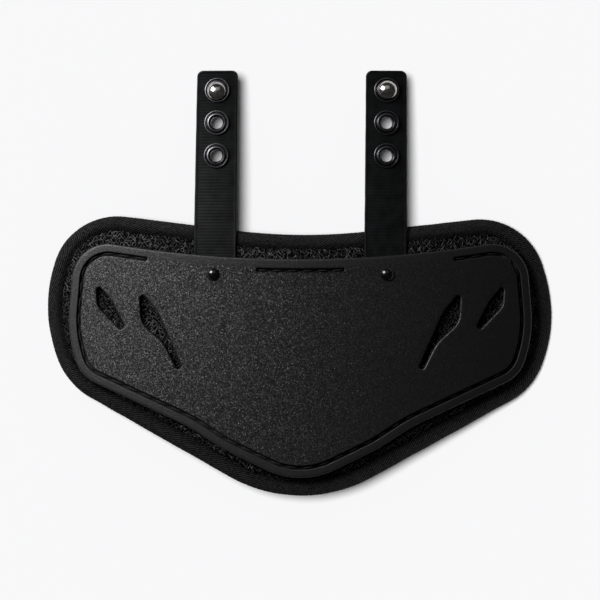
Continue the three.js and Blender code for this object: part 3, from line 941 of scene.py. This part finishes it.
# open net of the cover, modelled where it shows: round the plate and in the vents
net = {"cell": 1.3, "stretch": 1.15, "thread": 0.5, "above": 0.24, "innerEdge": 1.6, "jitter": 0.8,
       "rough": 0.55, "from": 9.2, "across": 320.0, "shift": -45.0, "wobbleScale": 0.8, "roughScale": 1.4,
       "lieFlat": 0.5, "castFrom": 60.0, "ventOver": 1.4}


def netShows(x, y):
    if padInset(x, y)[0] < net["from"]:
        return False
    if plateInset(x, y)[0] < net["innerEdge"]:
        return underStrap(x, y) < 0.99 or y > 0
    return any(find(x, y)[0] > -net["ventOver"] for find in ventInsets)


def makeNet(cover):
    bm = bmesh.new()
    cells = round(net["across"] / net["cell"])
    bmesh.ops.create_grid(bm, x_segments=cells, y_segments=cells, size=net["across"] / 2)
    bmesh.ops.rotate(bm, verts=bm.verts, cent=(0, 0, 0), matrix=Matrix.Rotation(math.pi / 4, 3, "Z"))
    bmesh.ops.scale(bm, vec=(1, net["stretch"], 1), verts=bm.verts)
    bmesh.ops.translate(bm, vec=(0, net["shift"], 0), verts=bm.verts)
    spare = [f for f in bm.faces if not netShows(*f.calc_center_median().xy)]
    bmesh.ops.delete(bm, geom=spare, context="FACES")
    for v in bm.verts:
        wobble = noise.noise_vector((v.co.x * net["wobbleScale"], v.co.y * net["wobbleScale"], 4.0))
        v.co += Vector((wobble.x, wobble.y, 0)) * net["jitter"] * 2
        v.co.z = 0
    pairs, taken = [], set()  # some neighbouring cells open into one
    for e in random.Random(5).sample(bm.edges[:], len(bm.edges)):
        if len(e.link_faces) == 2 and not taken.intersection(e.link_faces):
            taken.update(e.link_faces)
            pairs.append(e)
    bmesh.ops.dissolve_edges(bm, edges=pairs, use_verts=False)
    bmesh.ops.wireframe(bm, faces=bm.faces[:], thickness=net["thread"], offset=0, use_replace=True,
                        use_boundary=True, use_even_offset=False, use_relative_offset=False)
    layPad(bm)
    surface = bvhtree.BVHTree.FromPolygons([v.co / mm for v in cover.data.vertices],
                                           [f.vertices for f in cover.data.polygons])
    for v in bm.verts:
        rough = net["rough"] * noise.noise((v.co.x * net["roughScale"], v.co.y * net["roughScale"], 9.0))
        hit = surface.ray_cast(Vector((v.co.x, v.co.y, net["castFrom"])), Vector((0, 0, -1)))[0]
        v.co.z = hit.z + net["above"] + v.co.z * net["lieFlat"] + rough
    return finishPiece(bm, "mesh_net", [netThread], (), 60)


makeNet(padPiece)
print("pad done")

# knit tape folded round the pad's edge
binding = {
    "spacing": 0.8, "half": 4.35, "roll": 5.6, "rollSteps": 9, "width": 8.7, "flatSteps": 6, "sink": 1.0,
    "fold": [(8.84, 3.25), (8.94, 3.1), (8.9, 2.9), (8.65, 2.78)],
    "inner": [(6.8, 2.7), (4.6, 2.6), (2.4, 1.9), (1.6, 0)],
    "ribPitch": 1.25, "ribAngle": 36.0, "ribHeight": 0.13, "ripple": 0.3, "wander": 0.55,
    "sewPitch": 4.2, "sewIn": 7.5, "sewDepth": 0.6, "sewHalf": 0.9, "sewWide": 0.65,
    "rippleLength": 14.0, "wanderLength": 3.5, "wanderFrom": (6.4, 8.6), "strapRoom": 0.25,
}


def makeBinding():
    half, roll = binding["half"], binding["roll"]
    rows = [(roll * (1 - math.cos(a)), half * math.sin(a))
            for a in (math.pi / 2 * k / binding["rollSteps"] for k in range(binding["rollSteps"] + 1))]
    flat = binding["width"] - roll
    for k in range(1, binding["flatSteps"] + 1):
        share = k / binding["flatSteps"]
        rows.append((roll + flat * share, half - binding["sink"] * share * share))
    outerRows = len(rows) + 2
    rows += binding["fold"] + binding["inner"]
    bm = bmesh.new()
    points = linePoints(padCorners, binding["spacing"])
    find = insetFinder(points)
    face = outlineFace(bm, padCorners, binding["spacing"], 0)
    along, across = bm.verts.layers.float.new("along"), bm.verts.layers.float.new("across")
    onFace = bm.verts.layers.int.new("outer")
    travelled = 0.0
    length = sum((points[i] - points[i - 1]).length for i in range(len(points)))
    for row, (inset, z) in enumerate(rows):
        if row:
            stepIn(bm, face, [rows[row - 1], (inset, z)])
            travelled += math.dist(rows[row - 1], rows[row])
        for v in face.verts:
            v[across] = travelled
            v[onFace] = 1 if row < outerRows else 0
    bmesh.ops.delete(bm, geom=[face], context="FACES_ONLY")
    for v in bm.verts:
        v[along] = length * find(v.co.x, v.co.y)[1] / len(points)
    bmesh.ops.mirror(bm, geom=bm.verts[:] + bm.edges[:] + bm.faces[:], merge_dist=0.002, axis="Z")
    bmesh.ops.recalc_face_normals(bm, faces=bm.faces)
    bm.normal_update()
    angle = math.radians(binding["ribAngle"])
    count = round(length * math.sin(angle) / binding["ribPitch"])
    for v in bm.verts:
        if v.co.z < -1e-4:
            v[across] = -v[across]
    sewn = round(length / binding["sewPitch"])
    moves = []
    for v in bm.verts:
        turns = count * v[along] / length - v[across] * math.cos(angle) / binding["ribPitch"]
        rise = binding["ribHeight"] * math.cos(2 * math.pi * turns)
        wide = binding["rippleLength"]
        ripple = binding["ripple"] * noise.noise((v.co.x / wide, v.co.y / wide, v.co.z / 10))
        inset, i = find(v.co.x, v.co.y)
        toStitch = ((sewn * v[along] / length) % 1 - 0.5) * binding["sewPitch"]
        dent = binding["sewDepth"] * math.exp(-(toStitch / binding["sewHalf"]) ** 2
                                              - ((inset - binding["sewIn"]) / binding["sewWide"]) ** 2)
        run = points[(i + 1) % len(points)] - points[i - 1]
        inward = Vector((-run.y, run.x, 0)).normalized()
        short = binding["wanderLength"]
        stray = noise.noise((v.co.x / short, v.co.y / short, 2.0)) * ease(*binding["wanderFrom"], inset)
        moves.append(v.normal * ((rise - dent) * v[onFace] + min(0, ripple)) + inward * binding["wander"] * stray)
    for v, move in zip(bm.verts, moves):
        v.co += move
        v.co.z += half
    dentUnderStraps(bm, binding["strapRoom"])
    tape = bm.loops.layers.uv.new("tape")  # rib number, distance across the tape
    for f in bm.faces:
        lowest = min(v[along] for v in f.verts)
        for loop in f.loops:
            s = loop.vert[along]
            if s - lowest > length / 2:
                s -= length
            t = loop.vert[across]
            loop[tape].uv = (count * s / length - t * math.cos(angle) / binding["ribPitch"], t)
    layPad(bm)
    bendOver(bm)
    return finishPiece(bm, "binding_tape", [bindingKnit], ["edge_binding"], 180)


makeBinding()
print("binding done")

# pale floor
floorMesh = bmesh.new()
bmesh.ops.create_grid(floorMesh, x_segments=1, y_segments=1, size=8)
floorData = bpy.data.meshes.new("floor")
floorMesh.to_mesh(floorData)
floorMesh.free()
floor = bpy.data.objects.new("floor", floorData)
scene.collection.objects.link(floor)
paleFloor = newFinish("paleFloor", Base_Color=(0.86, 0.86, 0.87, 1), Roughness=0.8, Specular_IOR_Level=0.1)[0]
floorData.materials.append(paleFloor)

# soft studio light, each lamp on its own pieces so that their levels match the photo: a dim room, a lamp that
# whitens the floor, a softbox at upper left on everything, a weak one at right on the tape, a steep one on the net
# and a dim broad one that the metal mirrors
cloth, netting, metal = [bpy.data.collections.new(name) for name in ("cloth", "netting", "metal")]
cloth.objects.link(bpy.data.objects["binding_tape"])
netting.objects.link(bpy.data.objects["mesh_net"])
for piece in guard.objects:
    if piece.name.startswith("turned"):
        metal.objects.link(piece)
studio = {"room": 0.045, "floorLamp": 3.35, "floorFrom": (-0.17, 0.085, 1.0), "floorSoft": 20.0,
          "aim": (0, -0.02, 0.02),
          "boxes": [{"name": "keyBox", "at": (-0.592, 0.475, 0.572), "size": (0.4, 0.5), "power": 12.8, "on": guard},
                    {"name": "fillBox", "at": (0.75, -0.62, 0.4), "size": (0.5, 1.0), "power": 6.5, "on": cloth},
                    {"name": "netBox", "at": (-0.42, 0.35, 0.95), "size": (0.4, 0.4), "power": 5.0, "on": netting},
                    {"name": "topBox", "at": (-0.1, 0.55, 0.75), "size": (0.9, 0.5), "power": 0.55, "on": metal}]}
world = bpy.data.worlds.new("room")
scene.world = world
world.use_nodes = True
world.node_tree.nodes["Background"].inputs["Color"].default_value = (1, 1, 1, 1)
world.node_tree.nodes["Background"].inputs["Strength"].default_value = studio["room"]
ground = bpy.data.collections.new("ground")
scene.collection.children.link(ground)
scene.collection.objects.unlink(floor)
ground.objects.link(floor)


def hang(data, at, aim, lights):
    lamp = bpy.data.objects.new(data.name, data)
    lamp.location = at
    lamp.rotation_euler = (Vector(at) - Vector(aim)).to_track_quat("Z", "Y").to_euler()
    lamp.visible_camera = False
    lamp.light_linking.receiver_collection = lights
    scene.collection.objects.link(lamp)


floorLamp = bpy.data.lights.new("floorLamp", "SUN")
floorLamp.energy = studio["floorLamp"]
floorLamp.angle = math.radians(studio["floorSoft"])
hang(floorLamp, studio["floorFrom"], (0, 0, 0), ground)
for box in studio["boxes"]:
    softbox = bpy.data.lights.new(box["name"], "AREA")
    softbox.shape = "RECTANGLE"
    softbox.size, softbox.size_y = box["size"]
    softbox.energy = box["power"]
    hang(softbox, box["at"], studio["aim"], box["on"])
scene.view_settings.view_transform = "Standard"
print("light set")
